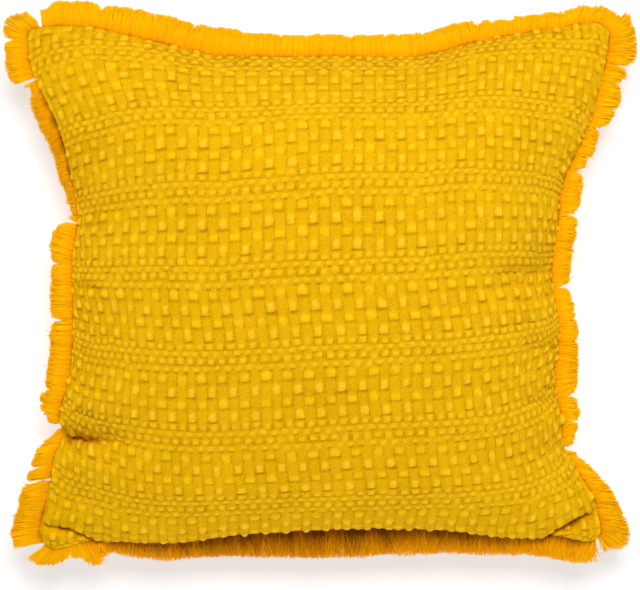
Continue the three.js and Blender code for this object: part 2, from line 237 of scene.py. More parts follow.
# Where each fold starts and ends, how wide it is and how deep
FOLDS = (
    ((-226, -124), (-190, -128), 9, 15),
    ((-222, -142), (-176, -146), 14, -6),
    ((-214, -96), (-160, -84), 17, -7),
    ((-212, 8), (-186, 2), 18, 8),
    ((-216, 44), (-188, 50), 9, 7),
    ((-240, -194), (-198, -209), 7, 10),
    ((-232, 206), (-186, 186), 13, 8),
    ((202, 42), (156, 3), 12, 10),
    ((204, -4), (168, -14), 10, -8),
    ((202, -48), (170, -40), 8, 8),
    ((202, -78), (168, -72), 12, -7),
    ((206, -100), (176, -94), 7, 6),
    ((236, -188), (196, -206), 7, 10),
    ((236, 168), (212, 160), 9, 8),
)


def fold_depth(x, y):
    """The depth of all folds: each is a bell across its line, held over its length."""
    depth = np.zeros_like(x)
    for (x0, y0), (x1, y1), width, deep in FOLDS:
        run = np.array((x1 - x0, y1 - y0), float)
        along = np.clip(((x - x0) * run[0] + (y - y0) * run[1]) / (run @ run), 0, 1)
        away = np.hypot(x - x0 - along * run[0], y - y0 - along * run[1])
        depth += deep * np.exp(-((away / width) ** 2))
    return depth


# %% [markdown]
# A fold is soft, but cloth that is pinched at a seam also creases. A crease is a sharp
# step: the cloth on one side stands proud, like a lip, and on the other it drops and comes
# up again slowly. The lips over the two lower corners are the strongest ones here.

# %% The creases
# Where each crease starts and ends, how wide its slow side is and how deep it drops. The drop
# is on the right of the crease's way, from its start to its end.
CREASES = (
    ((-242, -199), (-222, -204), 13, 8),
    ((-222, -204), (-196, -213), 12, 7),
    ((194, -211), (213, -202), 11, 11),
    ((210, -203), (226, -196), 9, 7),
    ((213, -202), (236, -189), 13, 8),
    ((-228, -125), (-200, -129), 8, 7),
    ((163, -9), (196, 3), 8, 5),
    ((168, 12), (186, 19), 7, 4),
    ((182, -47), (202, -49), 6, 4),
    ((186, -82), (206, -84), 6, 4),
    ((-210, 6), (-190, 4), 7, 4),
)
CREASE_EDGE = 1.6
CREASE_END = 7.0


def crease_drop(x, y):
    """How deep the creases cut: across each, a steep rise on its proud side and a slow one
    on the other, and along it the full drop that dies away round its ends."""
    drop = np.zeros_like(x)
    for (x0, y0), (x1, y1), width, deep in CREASES:
        run = np.array((x1 - x0, y1 - y0), float)
        size = np.hypot(*run)
        along = ((x - x0) * run[0] + (y - y0) * run[1]) / size
        side = ((x - x0) * run[1] - (y - y0) * run[0]) / size
        past = np.maximum(0, np.abs(along - size / 2) - size / 2)
        slow = np.exp(-np.maximum(0, side) / width * 2)
        steep = np.exp(-((np.minimum(0, side) / CREASE_EDGE) ** 2))
        drop += deep * slow * steep * np.exp(-((past / CREASE_END) ** 2))
    return drop


# %% A point of the cover
CROWDING_ACROSS = 0.2
CROWDING_UP = 0.25
LEAN_ACROSS = 0.09
STEEPER_RIGHT = 0.12
REST_REACH = 0.325
REST_HOLLOW = 0.03
REST_RISE = 0.12


def rest_on_floor(height, s, t):
    """Cloth that would sink under the floor lies flat on it, with a soft turn, and rises
    gently outside the patch of four corners and hollow sides that carries the cushion."""
    edge_s = REST_REACH - REST_HOLLOW * (1 - (t / REST_REACH) ** 2)
    edge_t = REST_REACH - REST_HOLLOW * (1 - (s / REST_REACH) ** 2)
    outside = np.maximum(0, np.maximum(np.abs(s) - edge_s, np.abs(t) - edge_t)) * CUT_SIZE / 2
    sunk = np.clip(height, -FLOOR_SOFTNESS, FLOOR_SOFTNESS) + FLOOR_SOFTNESS
    soft = sunk**2 / (4 * FLOOR_SOFTNESS) + np.maximum(0, height - FLOOR_SOFTNESS)
    return np.maximum(soft, REST_RISE * outside)


def cover_point(front, s, t):
    """Points of the filled cover: the sheet between the seams, with the cloth crowding
    towards them, lifted by the front crown or sunk by the back one."""
    in_s, in_t = 1 - s**2, 1 - t**2
    crowd_s = in_s * (CROWDING_ACROSS * s + LEAN_ACROSS * in_s + STEEPER_RIGHT * s**2)
    across = s + (1 - t**4) * crowd_s
    up = t + (1 - s**4) * in_t * CROWDING_UP * t
    point = seam_sheet(across, up)
    height = fill_height(s, t)
    if not front:
        point[..., 2] = rest_on_floor(point[..., 2] - BACK_CROWN * height, s, t)
        return point
    from_seam = (1 + t) * CUT_SIZE / 2 / BULGE_REACH
    point[..., 1] -= read_table(BULGE, "out", s, "across") * from_seam * np.exp(1 - from_seam)
    held = np.minimum(1, height / FOLD_FADE)
    point[..., 2] += FRONT_CROWN * height - fold_depth(point[..., 0], point[..., 1]) * held
    return point


# %% [markdown]
# The formula knows the shape but not the cloth. A flat square can't become a cushion
# without some spare cloth, and the spare cloth puckers where the sides draw in. Those
# puckers could be modelled by hand, but Blender's own cloth knows where they come. So a
# plain sheet of the front is left to settle: its threads want the length that they had
# when the cloth was cut, the filling presses from inside, and the seam holds its edge.

# %% Reading between the points of a grid
def read_grid(values, s, t):
    """Values over the cloth at places between the grid's points: the smooth curve through
    the four nearest points up the cloth, of the smooth curves through four across."""
    last = len(values) - 1

    def four(place):
        spot = (np.asarray(place) + 1) / 2 * last
        first = np.clip(np.floor(spot), 0, last - 1)
        p = spot - first
        shares = (
            2 * p**2 - p - p**3,
            2 - 5 * p**2 + 3 * p**3,
            p + 4 * p**2 - 3 * p**3,
            p**3 - p**2,
        )
        start = first.astype(int) - 1
        return [(np.clip(start + k, 0, last), share / 2) for k, share in enumerate(shares)]

    total = 0
    for row, row_share in four(t):
        for column, column_share in four(s):
            total = total + values[row, column] * (row_share * column_share)[..., None]
    return total


# %% The cloth settles
SHEET_CELLS = 110
SETTLE_FRAMES = 20
SETTLE_SCALE = 0.01
LEAST_HELD = 0.01
HELD_BY_FILLING = 0.2
FULLY_HELD_FROM = 0.6
MOST_SETTLED = 12.0
SWELLING_TAKEN_BACK = 0.8
YARN = {
    "quality": 6, "mass": 0.3, "vertex_group_mass": "held",
    "tension_stiffness": 15, "compression_stiffness": 15, "shear_stiffness": 3,
    "tension_damping": 5, "compression_damping": 5, "shear_damping": 5,
    "bending_stiffness": 0.02, "bending_damping": 0.1, "air_damping": 5,
    "use_pressure": True, "uniform_pressure_force": 2.0,
}


def broad_part(values, s, t):
    """The broad part of values over the cloth: the sum of low powers of s and t, each times
    the filling's height, that comes nearest to them."""
    height = fill_height(s, t)
    powers = np.stack([height * s**i * t**j for i in range(4) for j in range(4)], -1)
    shares = np.linalg.lstsq(powers.reshape(-1, 16), values.ravel(), rcond=None)[0]
    return powers @ shares


def settle_sheet():
    """How far the front moves at each point of an even grid when it is let go as cloth: it
    starts as the filled shape, and its threads are as long as on the flat cut cloth. Its
    broad swelling is mostly taken back, so that the crown stays the solid's."""
    places = np.linspace(-1, 1, SHEET_CELLS + 1)
    s, t = np.meshgrid(places, places)
    start = cover_point(True, s, t)
    flat = np.stack((s * CUT_SIZE / 2, t * CUT_SIZE / 2, 0 * s), -1)
    index = np.arange(s.size).reshape(s.shape)
    cells = np.stack((index[:-1, :-1], index[:-1, 1:], index[1:, 1:], index[1:, :-1]), -1)
    points = (start.reshape(-1, 3) * SETTLE_SCALE).tolist()
    sheet = add_mesh("settling sheet", points, cells.reshape(-1, 4).tolist())
    sheet.shape_key_add(name="filled")
    cut = sheet.shape_key_add(name="cut")
    cut.data.foreach_set("co", (flat.reshape(-1, 3) * SETTLE_SCALE).ravel())
    cut.value = 0
    held = sheet.vertex_groups.new(name="held")
    from_seam = np.minimum(1 - np.abs(s), 1 - np.abs(t))
    inner_share = LEAST_HELD + HELD_BY_FILLING * np.clip(from_seam / FULLY_HELD_FROM, 0, 1)
    levels = np.round(np.where(from_seam < 1e-9, 1, inner_share), 2)
    for level in np.unique(levels):
        held.add(np.flatnonzero(levels == level).tolist(), float(level), "REPLACE")
    cloth = sheet.modifiers.new("cloth", "CLOTH")
    for setting, value in YARN.items():
        setattr(cloth.settings, setting, value)
    cloth.settings.rest_shape_key = cut
    cloth.settings.effector_weights.gravity = 0
    cloth.collision_settings.use_collision = False
    cloth.point_cache.frame_start = 1
    cloth.point_cache.frame_end = SETTLE_FRAMES
    for frame_number in range(1, SETTLE_FRAMES + 1):
        bpy.context.scene.frame_set(frame_number)
    settled = sheet.evaluated_get(bpy.context.evaluated_depsgraph_get())
    found = np.empty(s.size * 3, np.float32)
    settled.data.vertices.foreach_get("co", found)
    bpy.data.meshes.remove(sheet.data)
    bpy.context.scene.frame_set(1)
    moved = found.reshape(start.shape) / SETTLE_SCALE - start
    moved[..., 2] -= SWELLING_TAKEN_BACK * broad_part(moved[..., 2], s, t)
    far = np.linalg.norm(moved, axis=-1, keepdims=True)
    return moved * np.tanh(far / MOST_SETTLED) * MOST_SETTLED / np.maximum(far, 1e-6)


settled = settle_sheet()
print("the cloth settled by up to", round(float(np.abs(settled).max()), 1), "mm")


# %% [markdown]
# The cloth is a basket weave in bands, from the loom: a wide band of large blocks, then a
# narrow band of small ones, and so on. A picture could fake it, but real relief catches
# the light at the edges. So the grid of the cover follows the weave: its lines lie in the
# gaps, on the shoulders and on the tops of the blocks, and each point is lifted there.

# %% The weave's sizes
COLUMN = 9.33
BAND = 73.0
FIRST_BAND_FROM_TOP = 20.0
# The kinds of block, by the columns that they are on. Wide and high are half sizes, and pale
# is how much the brushed yarn lightens it. Tone is how bright the block is drawn, a painted
# highlight on its raised yarn. Slot and edge are the gaps at its foot and beside it: how deep,
# and how dark their painted shade is.
BLOCKS = {
    "odd": {"wide": 4.2, "high": 3.2, "lift": 1.6, "tone_and_painted_light": 0.86, "pale": 0.1,
            "slot": (0.5, 0.26), "edge": (0.3, 0.16)},
    "even": {"wide": 3.3, "high": 3.9, "lift": 1.9, "tone_and_painted_light": 0.74, "pale": 0.75,
             "slot": (0.9, 0.42), "edge": (0.3, 0.16)},
    "all": {"wide": 2.8, "high": 2.2, "lift": 1.4, "tone_and_painted_light": 0.68, "pale": 0.45,
            "slot": (0.5, 0.26), "edge": (0.6, 0.3)},
    "between": {"wide": 1.9, "high": 2.0, "lift": 1.3, "tone_and_painted_light": 0.66, "pale": 0.45,
                "slot": (0.5, 0.26), "edge": (0.6, 0.3)},
}
# The rows of blocks in one band: how far down from its first row, and the kind
BAND_ROWS = (
    (0.0, "odd"), (12.2, "even"), (23.8, "odd"), (35.0, "even"),
    (44.3, "all"), (50.4, "between"), (57.3, "all"), (64.5, "between"),
)
# How far the weave has strayed on the cut cloth, in millimetres: a row of the table for
# each height up the cloth, and in it a place for each of STRAY_ACROSS
STRAY_ACROSS = (-1, -0.8, -0.5, -0.2, 0.1, 0.4, 0.65, 0.85, 1)
STRAY_UP = (-1, -0.83, -0.6, -0.3, 0, 0.3, 0.6, 0.85, 1)
STRAYED_UP = (
    (8, 12, 13, 13, 11, 13, 15, 15, 10),
    (9, 13, 13, 15, 13, 15, 19, 21, 16),
    (12, 6, 1, 3, 6, 8, 13, 18, 18),
    (-4, -6, -5, 0, 4, 6, 9, 14, 18),
    (-13, -15, -11, -5, -2, -2, -2, -2, 0),
    (-22, -24, -15, -7, -4, -6, -10, -11, -8),
    (-32, -33, -16, -7, -3, -9, -19, -24, -24),
    (-38, -33, -19, -15, -13, -15, -21, -26, -26),
    (-40, -32, -18, -14, -14, -14, -18, -24, -24),
)
STRAYED_ACROSS = (
    (46, 38, 29, 26, 23, 21, 19, 14, 4),
    (46, 40, 29, 20, 9, 2, 1, 4, 4),
    (44, 34, 22, 14, 7, 5, 7, 8, 6),
    (40, 19, 11, 7, 2, 2, 5, 1, -4),
    (20, 8, 1, 0, -1, -1, 2, 4, 0),
    (2, -2, -3, -3, -5, -8, -5, -5, -6),
    (4, 4, 6, 0, -8, -20, -26, -20, -10),
    (4, 2, 6, 4, 2, -7, -14, -13, -10),
    (4, 0, 6, 10, 15, 11, 2, -4, -10),
)
print("weave: bands of", BAND, "mm, columns of", COLUMN, "mm")


# %% The weave's grid lines
# The strayed weave runs on past the cut edge, so its lines are worked out for more cloth
WEAVE_REACH_ACROSS = (-300.0, 264.0)
WEAVE_REACH_UP = (-268.0, 292.0)
BANDS_REACHED = range(-2, 9)
# Where the lines lie in a column, as shares of it
COLUMN_LINES = (-0.5, -0.39, -0.14, 0.14, 0.39)
# Where they lie in a row of tall or of low blocks: past its edge, in millimetres, and on it,
# as shares of its half height
TALL_BLOCK = 3.5
TALL_ROW_LINES = (0.8, (-0.72, 0.0, 0.72))
LOW_ROW_LINES = (0.4, (-0.55, 0.55))


def column_places():
    """Places across the cloth, in millimetres: five for each column of the weave."""
    low, high = WEAVE_REACH_ACROSS
    centres = np.arange(int(low / COLUMN), int(high / COLUMN) + 1)[:, None]
    return ((centres + np.array(COLUMN_LINES)) * COLUMN).ravel()


def row_places():
    """Places up the cloth, in millimetres: in the gap, on the shoulders and on top of each
    row of blocks."""
    lowest, highest = WEAVE_REACH_UP
    places = []
    for band in BANDS_REACHED:
        for down, kind in BAND_ROWS:
            centre = CUT_SIZE / 2 - FIRST_BAND_FROM_TOP - band * BAND - down
            high = BLOCKS[kind]["high"]
            past, shares = TALL_ROW_LINES if high >= TALL_BLOCK else LOW_ROW_LINES
            steps = (-high - past, *(share * high for share in shares), high + past)
            places.extend(centre + step for step in steps if lowest < centre + step < highest)
    return np.sort(np.array(places))


def even_cells(places):
    """The places with one more in the widest gap, where that makes the cells even."""
    if len(places) % 2:
        return places
    widest = np.argmax(np.diff(places))
    return np.insert(places, widest + 1, places[widest : widest + 2].mean())


across_mm = even_cells(column_places())
up_mm = even_cells(row_places())
print("cover grid", len(across_mm) - 1, "by", len(up_mm) - 1, "cells")


# %% Where the weave has strayed
SEAM_STRIP = 2.0
STEPS_TOWARDS = 12


def strayed(table, s, t):
    """How far the weave lies from its even place, at places on the cut cloth: a smooth
    curve across for each row of the table, and then a smooth curve up through those."""
    curves = np.stack([smooth_curve(STRAY_ACROSS, row, s) for row in table])
    return smooth_curve(STRAY_UP, curves, t)


def follow_weave(x, y):
    """The places on the cut cloth, from -1 to 1, of grid lines that follow the strayed
    weave, found by stepping towards them a few times. The lines past the cut edge are drawn
    in to its last strip, and the outermost line is the edge itself."""
    half = CUT_SIZE / 2
    s, t = x / half, y / half
    for _ in range(STEPS_TOWARDS):
        next_s = x / half + strayed(STRAYED_ACROSS, np.clip(s, -1, 1), np.clip(t, -1, 1)) / half
        next_t = y / half + strayed(STRAYED_UP, np.clip(s, -1, 1), np.clip(t, -1, 1)) / half
        s, t = 0.5 * (s + next_s), 0.5 * (t + next_t)
    inside = 1 - SEAM_STRIP / half
    for place, ends in ((s, (s[:, :1], s[:, -1:])), (t, (t[:1], t[-1:]))):
        past_low, past_high = -inside - place, place - inside
        low_span, high_span = -inside - ends[0], ends[1] - inside
        squeezed_low = -inside - (1 - inside) * past_low / low_span
        squeezed_high = inside + (1 - inside) * past_high / high_span
        squeezed = np.where(past_high > 0, squeezed_high, place)
        place[...] = np.where(past_low > 0, squeezed_low, squeezed)
    return s, t


# %% The weave's relief
# The flat floats between the blocks: how high, how bright and how pale they are
FLOAT_LIFT = 0.2
FLOAT_TONE = 0.46
FLOAT_PALE = 0.08
FLOAT_LENGTH = 30.0
# How square a block is, seen from above, and how steep its sides are
BLOCK_SQUARE = 3.6
BLOCK_STEEP = 0.6
# Bumps of crumpled cloth all over and by the seam: how high, how wide and their seed
BUMPS_ALL_OVER = ((0.35, 26, 1), (0.25, 14, 2))
BUMPS_BY_SEAM = ((1.1, 9, 3), (0.9, 5.5, 4))


def scatter(a, b, seed):
    """A number from -1 to 1 that looks random, the same each time for the same place."""
    wave = np.sin(a * 12.9898 + b * 78.233 + seed * 37.719) * 43758.5453
    return 2 * (wave - np.floor(wave)) - 1


def bumps(x, y, size, seed):
    """Soft bumps from -1 to 1: chance heights on a square net, joined smoothly."""
    column, row = np.floor(x / size), np.floor(y / size)
    part_x, part_y = x / size - column, y / size - row
    ease_x, ease_y = part_x**2 * (3 - 2 * part_x), part_y**2 * (3 - 2 * part_y)
    lower, upper = (
        scatter(column, row + k, seed) * (1 - ease_x) + scatter(column + 1, row + k, seed) * ease_x
        for k in range(2)
    )
    return lower * (1 - ease_y) + upper * ease_y


def crumple(x, y, near):
    """How far the cloth is crumpled off its shape: a little all over, and in fine bumps
    where the seam gathers it."""
    coarse, fine = (
        sum(height * bumps(x, y, size, seed) for height, size, seed in kinds)
        for kinds in (BUMPS_ALL_OVER, BUMPS_BY_SEAM)
    )
    return coarse + near * fine


def block_centre(column, kind):
    """The nearest column of blocks, for a row whose blocks are on all columns, on the odd
    or the even ones, or between them."""
    if kind == "between":
        return np.floor(column) + 0.5
    if kind == "odd":
        return 2 * np.round((column - 1) / 2) + 1
    if kind == "even":
        return 2 * np.round(column / 2)
    return np.round(column)


def weave_relief(x, y):
    """The lift of the weave and three tints, at places on the cut cloth: its tone with painted
    light and shade, how pale its yarn is, and which way its threads run. Flat floats are low
    ribbons, one a column, darkened between them by painted shade. A block is a dome over them,
    a little off its place, drawn lighter as a painted highlight, with a slot at its foot and gaps
    beside it that are sunk and darkened by painted shade."""
    column = x / COLUMN
    ribbon = np.cos(np.pi * (column - np.round(column)))
    float_chance = scatter(np.round(column), np.round(y / FLOAT_LENGTH), 3)
    lift = 0.05 + (FLOAT_LIFT + 0.06 * float_chance) * ribbon**0.8
    # Between the ribbons the floats darken: painted shade.
    tone_and_painted_light = FLOAT_TONE + 0.03 * float_chance - 0.1 * (1 - ribbon) ** 3
    pale = np.full_like(lift, FLOAT_PALE)
    way = np.zeros_like(lift)
    down_cloth = CUT_SIZE / 2 - FIRST_BAND_FROM_TOP - y
    for index, (down, kind) in enumerate(BAND_ROWS):
        block = BLOCKS[kind]
        band = np.round((down_cloth - down) / BAND)
        centre = block_centre(column, kind)
        chance = [scatter(centre, band, index + 10 * k) for k in range(5)]
        away_up = down_cloth - down - band * BAND - 0.55 * chance[0]
        away_across = (column - centre) * COLUMN - 0.5 * chance[1]
        wide = block["wide"] * (1 + 0.1 * chance[2])
        high = block["high"] * (1 + 0.1 * chance[3])
        across_part, up_part = np.abs(away_across) / wide, np.abs(away_up) / high
        from_middle = across_part**BLOCK_SQUARE + up_part**BLOCK_SQUARE
        dome = np.clip(1 - from_middle, 0, 1) ** BLOCK_STEEP
        share = np.clip(2.4 * dome, 0, 1)
        lift = np.maximum(lift, block["lift"] * (1 + 0.2 * chance[4]) * dome + 0.1 * share)
        # A block is drawn lighter than the floats round it, a painted highlight on its raised
        # yarn, with a chance tone of its own.
        tone_and_painted_light = tone_and_painted_light * (1 - share) + (block["tone_and_painted_light"] + 0.12 * chance[4]) * share
        pale = pale * (1 - share) + block["pale"] * (1 + 0.4 * chance[2]) * share
        way = np.maximum(way, share) if kind == "even" else np.minimum(way, 1 - share)
        # The slot at a block's foot and the gaps beside it are sunk, and darkened with painted
        # shade.
        slot = np.exp(-((away_across / (1.5 * wide)) ** 4) - ((away_up - high - 0.6) / 0.7) ** 2)
        edge = np.exp(-(((np.abs(away_across) - wide - 0.3) / 0.6) ** 2) - (away_up / high) ** 4)
        lift = lift - block["slot"][0] * slot - block["edge"][0] * edge
        tone_and_painted_light = tone_and_painted_light - block["slot"][1] * slot - block["edge"][1] * edge
    return lift, tone_and_painted_light, pale, way


grid_s, grid_t = follow_weave(*np.meshgrid(across_mm, up_mm))
cell_widths = np.diff(grid_s) * CUT_SIZE / 2
print("grid cells from", cell_widths.min(), "to", cell_widths.max(), "mm wide")

# %% [markdown]
# The cover is one closed mesh. The front has the full grid. The back is hidden when the
# cushion lies, so its grid takes every second line and its outer cells take up the spare
# points along the seam.


# %% Lifting points along the surface
# How far the cloth is gathered from the seam, how far up the lip over the bottom seam comes,
# and how far out of its corner an ear reaches
GATHER_REACH = 30.0
LIP_REACH = 26.0
EAR_REACH = 70.0
# How deep the weave is all over, and what the gather, the ear and the lip add to it
RELIEF = 1.1
RELIEF_ADDED = (0.35, -0.25, -0.75)
# Painted light: the tone that the ears are drawn towards, against the shade of the lip and creases
EAR_PAINTED_LIGHT = 0.6
# Painted light along the seam, where the cloth turns steeply into shade, and how far in it reaches
SEAM_PAINTED_LIGHT = 0.16
SEAM_PAINTED_LIGHT_REACH = 4.0


def surface_normals(points, outwards):
    """The unit normal at each point of a grid, from the grid's own slopes."""
    along_rows = np.gradient(points, axis=1)
    along_columns = np.gradient(points, axis=0)
    normal = np.cross(along_rows, along_columns)
    length = np.linalg.norm(normal, axis=-1, keepdims=True)
    return outwards * normal / np.maximum(length, 1e-9)


def panel(front, s, t):
    """One side of the cover with its weave: a grid of points, and its numbers: the tints of the
    weave, its tone with painted light and shade among them, and the place on the strayed cloth."""
    half = CUT_SIZE / 2
    points = cover_point(front, s, t)
    if front:
        points = points + read_grid(settled, s, t)
        inside = np.clip(half * np.minimum(1 - np.abs(s), 1 - np.abs(t)) / 6, 0, 1)
        points[..., 2] -= crease_drop(points[..., 0], points[..., 1]) * inside
    x = half * s - strayed(STRAYED_ACROSS, s, t)
    y = half * t - strayed(STRAYED_UP, s, t)
    lift, tone_and_painted_light, pale, way = weave_relief(x, y + 0.8 * bumps(x, y, 15, 5))
    from_seam = half * np.minimum(1 - np.abs(s), 1 - np.abs(t))
    near = np.exp(-from_seam / GATHER_REACH)
    lip = np.exp(-((half * (1 + t) / LIP_REACH) ** 2))
    ear = np.exp(-((half * np.hypot(1 - np.abs(s), 1 - np.abs(t)) / EAR_REACH) ** 2))
    # Painted shade darkens the pits between blocks, most by the seam and in the ears.
    pit_shade = np.clip((0.5 - lift) / 0.5, 0, 1) * (0.5 + 0.5 * bumps(x, y, 4, 6))
    # In the ears the tone is drawn lighter and evener: painted light against the shade of the lip.
    tone_and_painted_light = tone_and_painted_light + 0.4 * ear * (EAR_PAINTED_LIGHT - tone_and_painted_light) - (0.06 + 0.16 * (near + ear)) * pit_shade
    # Along the seam the cloth is drawn lighter: painted light where it turns steeply into shade.
    tone_and_painted_light = tone_and_painted_light + SEAM_PAINTED_LIGHT * np.exp(-from_seam / SEAM_PAINTED_LIGHT_REACH)
    pale = pale * (1 - 0.5 * ear)
    added = (share * place for share, place in zip(RELIEF_ADDED, (near, ear, lip)))
    relief = sum(added, RELIEF)
    lift = lift * relief + crumple(x, y, near + 0.7 * ear)
    fade = np.clip(from_seam / 1.5, 0, 1)
    if not front:
        fade = fade * np.clip(points[..., 2] / 3, 0, 1)
    points = points + surface_normals(points, 1 if front else -1) * (lift * fade)[..., None]
    return points, {"tone_and_painted_light": tone_and_painted_light, "pale": pale, "thread_way": way, "across": x, "up": y}


# %% The cover's mesh
def cover_faces(rows, columns):
    """Faces of the closed cover: four corners a cell on the front, and on the back one
    face for each two by two cells, with the seam's spare points in its outer faces."""
    front = np.arange(rows * columns).reshape(rows, columns)
    quads = np.stack((front[:-1, :-1], front[:-1, 1:], front[1:, 1:], front[1:, :-1]), -1)
    back = np.full((rows, columns), -1)
    inner = np.arange(((rows - 3) // 2) * ((columns - 3) // 2))
    back[2:-2:2, 2:-2:2] = rows * columns + inner.reshape((rows - 3) // 2, (columns - 3) // 2)
    for edge in (np.s_[0, :], np.s_[-1, :], np.s_[:, 0], np.s_[:, -1]):
        back[edge] = front[edge]
    ring = np.stack((
        back[:-2:2, :-2:2], back[1:-1:2, :-2:2], back[2::2, :-2:2], back[2::2, 1:-1:2],
        back[2::2, 2::2], back[1:-1:2, 2::2], back[:-2:2, 2::2], back[:-2:2, 1:-1:2],
    ), -1).reshape(-1, 8)
    plain = (ring[:, 1::2] < 0).all(axis=1)
    at_seam = [[corner for corner in face if corner >= 0] for face in ring[~plain].tolist()]
    return quads.reshape(-1, 4).tolist() + ring[plain][:, ::2].tolist() + at_seam


rows, columns = grid_s.shape
front_points, front_numbers = panel(True, grid_s, grid_t)
back_points, back_numbers = panel(False, grid_s[::2, ::2], grid_t[::2, ::2])
filled = cover_point(True, grid_s, grid_t).reshape(-1, 3)
body_middle = (np.array(body_low) + np.array(body_high)) / 2 / MM
frame_shift = (body_middle - (filled.min(axis=0) + filled.max(axis=0)) / 2) * (1, 1, 0)
print("the frame lies", np.round(frame_shift, 2), "mm from the seam's own middle")


def add_piece(name, points, faces):
    """A piece in metres from points in millimetres about the seam's own middle."""
    return add_mesh(name, ((points + frame_shift) * MM).tolist(), faces)


def add_number(mesh, name, values):
    """A number for each point of a mesh, for its material to read."""
    attribute = mesh.attributes.new(name, "FLOAT", "POINT")
    attribute.data.foreach_set("value", np.asarray(values, np.float32).ravel())


inner = np.s_[1:-1, 1:-1]
cover = add_piece(
    "cushion_cover",
    np.concatenate((front_points.reshape(-1, 3), back_points[inner].reshape(-1, 3))),
    cover_faces(rows, columns),
)
cover.data.shade_smooth()
for number_name, front_values in front_numbers.items():
    back_values = back_numbers[number_name][inner]
    both_sides = np.concatenate((front_values.ravel(), back_values.ravel()))
    add_number(cover.data, number_name, both_sides)
print("cover", len(cover.data.vertices), "points,", len(cover.data.polygons), "faces")


# %% [markdown]
# The cloth's finish reads what the grid knows: the tone of each block with its painted light
# and shade, the way its threads run, and the place on the cut cloth, so that the fine threads
# follow the weave over every fold. Fine threads are far too many for the mesh, so they are
# colour and bump.

# %% Helpers for finishes
def new_material(name):
    """A material with its nodes, and the shader that every finish here ends in."""
    material = bpy.data.materials.new(name)
    material.use_nodes = True
    tree = material.node_tree
    return material, tree, tree.nodes["Principled BSDF"]


def set_inputs(made, values):
    """Plain values for a node's inputs, by their names."""
    for name, value in values.items():
        made.inputs[name].default_value = value


def node(tree, kind, **settings):
    """A node of a kind, with its settings and its inputs that are plain numbers."""
    made = tree.nodes.new(kind)
    for name, value in settings.items():
        if hasattr(made, name):
            setattr(made, name, value)
        else:
            made.inputs[name.replace("_", " ")].default_value = value
    return made


def maths_in(tree):
    """The maths of a material's nodes, as a function of an operation and two values."""
    def maths(operation, first, second=0.0):
        made = tree.nodes.new("ShaderNodeMath")
        made.operation = operation
        for socket, value in zip(made.inputs, (first, second)):
            if isinstance(value, bpy.types.NodeSocket):
                tree.links.new(value, socket)
            else:
                socket.default_value = value
        return made.outputs[0]

    return maths


def number_of(tree, name):
    """The socket of a number that the mesh carries."""
    return node(tree, "ShaderNodeAttribute", attribute_name=name).outputs["Fac"]


# %% The cloth's finish
# The ramp's colours: deep for the painted shade of slots, gaps and pits, middle for the floats,
# and light for the painted highlight on the blocks; pale is the brushed yarn's own
CLOTH_DEEP_SHADE = (0.46, 0.185, 0.0003, 1)
CLOTH_MIDDLE = (0.84, 0.45, 0.0008, 1)
CLOTH_LIGHT = (1.0, 0.6, 0.006, 1)
CLOTH_PALE = (0.98, 0.63, 0.03, 1)
THREAD_PITCH = 1.25
THREAD_WOBBLE = 9.0
THREAD_SHADE = 0.05
PALE_SHARE = 0.6
SHEEN_TINT = (1.0, 0.7, 0.05, 1)
# The sockets of a mix node that are for colours
MIX_FIRST, MIX_SECOND, MIX_RESULT = 6, 7, 2


